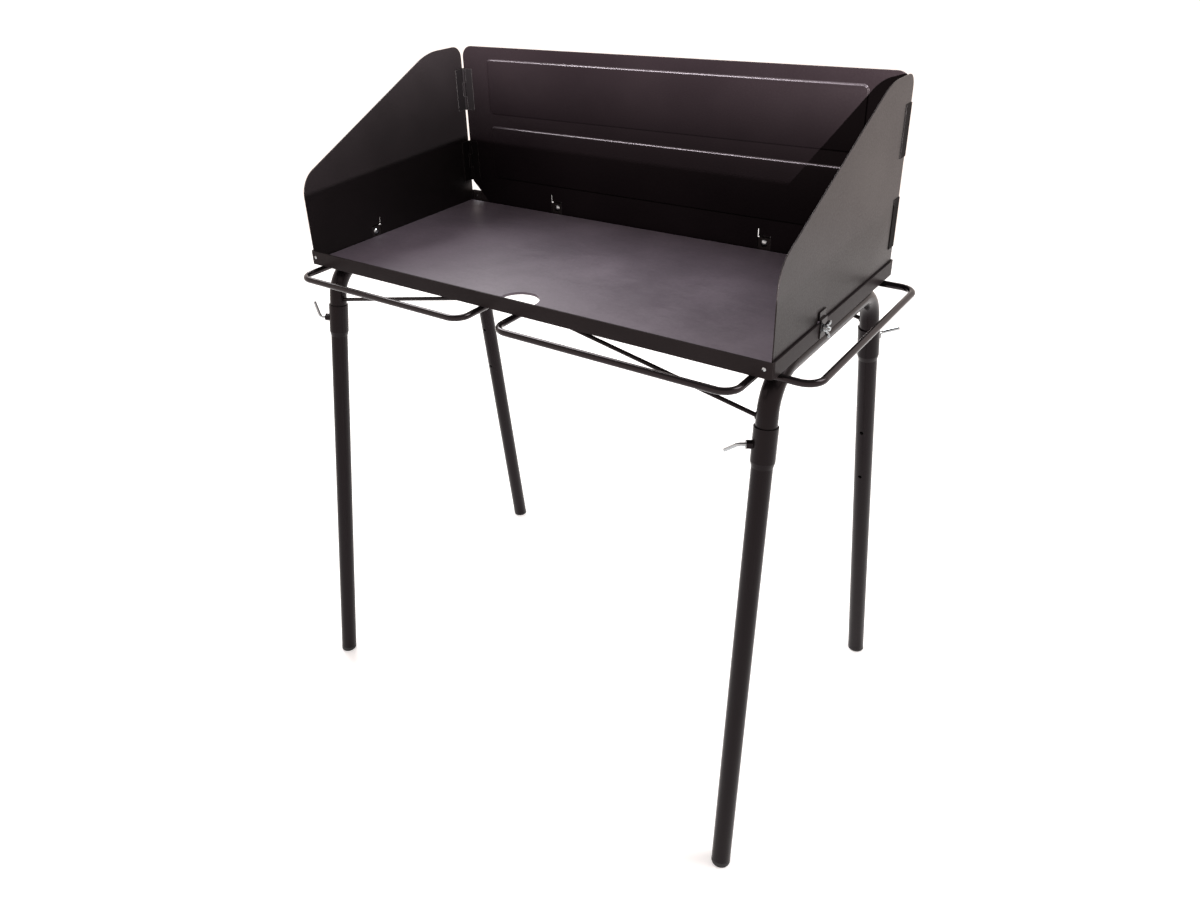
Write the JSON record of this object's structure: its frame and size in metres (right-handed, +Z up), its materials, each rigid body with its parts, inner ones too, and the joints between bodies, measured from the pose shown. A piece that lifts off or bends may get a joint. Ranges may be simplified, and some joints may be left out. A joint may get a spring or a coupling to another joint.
{
  "type": "dutch oven cook table",
  "caption": "Free-standing camp cooking table: steel plate in a raised rim, folding three-sided windscreen, splayed plug-on legs and hanging bars under the rim.",
  "frame": {"origin": "middle of the table at floor level", "axes": "+Z up, +X to the right and +Y to the back for someone standing at the open side"},
  "size_m": [0.8935, 0.5772, 1.064],
  "materials": {
    "black_coat": "semi-gloss black powder coat",
    "panel_coat": "fine-textured black powder coat",
    "plate_steel": "dark grey satin heat-resistant coat",
    "zinc": "bright zinc plating",
    "cap_plastic": "moulded black plastic"
  },
  "bodies": {
    "frame": {"front_rail": "black_coat", "rear_rail": "black_coat", "left_rail": "black_coat", "right_rail": "black_coat", "corner_rivets": "zinc", "panel_clips": "black_coat", "clip_bolts": "zinc", "left_leg_frame": "black_coat", "right_leg_frame": "black_coat", "brace_rods": "black_coat", "front_left_bar": "black_coat", "front_right_bar": "black_coat", "side_bar": "black_coat"},
    "plate": {"cooking_plate": "plate_steel"},
    "windscreen": {"back_panel": "panel_coat", "left_panel_hinge_leaves": "black_coat", "right_panel_hinge_leaves": "black_coat", "left_hinge_pins": "black_coat", "right_hinge_pins": "black_coat"},
    "left_wing": {"left_wing": "panel_coat", "left_wing_hinge_leaves": "black_coat"},
    "right_wing": {"right_wing": "panel_coat", "right_wing_hinge_leaves": "black_coat"},
    "rear_left_wing_nut": {"rear_left_wing_nut": "zinc"},
    "rear_right_wing_nut": {"rear_right_wing_nut": "zinc"},
    "left_wing_nut": {"left_wing_nut": "zinc"},
    "right_wing_nut": {"right_wing_nut": "zinc"},
    "front_left_leg": {"front_left_leg": "black_coat", "front_left_leg_nut": "black_coat", "front_left_foot_cap": "cap_plastic"},
    "front_left_thumbscrew": {"front_left_thumbscrew": "zinc"},
    "front_right_leg": {"front_right_leg": "black_coat", "front_right_leg_nut": "black_coat", "front_right_foot_cap": "cap_plastic"},
    "front_right_thumbscrew": {"front_right_thumbscrew": "zinc"},
    "rear_right_leg": {"rear_right_leg": "black_coat", "rear_right_leg_nut": "black_coat", "rear_right_foot_cap": "cap_plastic"},
    "rear_right_thumbscrew": {"rear_right_thumbscrew": "zinc"},
    "rear_left_leg": {"rear_left_leg": "black_coat", "rear_left_leg_nut": "black_coat", "rear_left_foot_cap": "cap_plastic"},
    "rear_left_thumbscrew": {"rear_left_thumbscrew": "zinc"}
  },
  "joints": [
    {"name": "windscreen_lift", "type": "slide", "parent": "frame", "child": "windscreen", "axis": [0, 0, 1], "range_m": [0, 0.06]},
    {"name": "left_wing_fold", "type": "hinge", "parent": "windscreen", "child": "left_wing", "pos_m": [-0.3986, 0.1956, 0.824], "axis": [0, 0, 1], "range_deg": [0, 90]},
    {"name": "right_wing_fold", "type": "hinge", "parent": "windscreen", "child": "right_wing", "pos_m": [0.3986, 0.1956, 0.824], "axis": [0, 0, -1], "range_deg": [0, 90]},
    {"name": "plate_lift", "type": "slide", "parent": "frame", "child": "plate", "axis": [0, 0, 1], "range_m": [0, 0.03]},
    {"name": "rear_left_wing_nut_turn", "type": "hinge", "parent": "frame", "child": "rear_left_wing_nut", "pos_m": [-0.203, 0.2048, 0.7932], "axis": [0, 1, 0], "continuous": true},
    {"name": "rear_right_wing_nut_turn", "type": "hinge", "parent": "frame", "child": "rear_right_wing_nut", "pos_m": [0.203, 0.2048, 0.7932], "axis": [0, 1, 0], "continuous": true},
    {"name": "left_wing_nut_turn", "type": "hinge", "parent": "frame", "child": "left_wing_nut", "pos_m": [-0.4078, -0.058, 0.7932], "axis": [-1, 0, 0], "continuous": true},
    {"name": "right_wing_nut_turn", "type": "hinge", "parent": "frame", "child": "right_wing_nut", "pos_m": [0.4078, -0.058, 0.7932], "axis": [1, 0, 0], "continuous": true},
    {"name": "front_left_leg_pull", "type": "slide", "parent": "frame", "child": "front_left_leg", "axis": [-0.0276, -0.1392, -0.9899], "range_m": [0, 0.045]},
    {"name": "front_left_thumbscrew_turn", "type": "hinge", "parent": "front_left_leg", "child": "front_left_thumbscrew", "pos_m": [-0.39149, -0.17934, 0.67691], "axis": [-0.8808, -0.4649, 0.09], "continuous": true},
    {"name": "front_right_leg_pull", "type": "slide", "parent": "frame", "child": "front_right_leg", "axis": [0.0276, -0.1392, -0.9899], "range_m": [0, 0.045]},
    {"name": "front_right_thumbscrew_turn", "type": "hinge", "parent": "front_right_leg", "child": "front_right_thumbscrew", "pos_m": [0.39149, -0.17934, 0.67691], "axis": [-0.811, -0.5821, 0.0592], "continuous": true},
    {"name": "rear_right_leg_pull", "type": "slide", "parent": "frame", "child": "rear_right_leg", "axis": [0.0276, 0.1392, -0.9899], "range_m": [0, 0.045]},
    {"name": "rear_right_thumbscrew_turn", "type": "hinge", "parent": "rear_right_leg", "child": "rear_right_thumbscrew", "pos_m": [0.39149, 0.17934, 0.67691], "axis": [0.255, 0.9565, 0.1416], "continuous": true},
    {"name": "rear_left_leg_pull", "type": "slide", "parent": "frame", "child": "rear_left_leg", "axis": [-0.0276, 0.1392, -0.9899], "range_m": [0, 0.045]},
    {"name": "rear_left_thumbscrew_turn", "type": "hinge", "parent": "rear_left_leg", "child": "rear_left_thumbscrew", "pos_m": [-0.39149, 0.17934, 0.67691], "axis": [0.8844, 0.4649, 0.0407], "continuous": true}
  ]
}
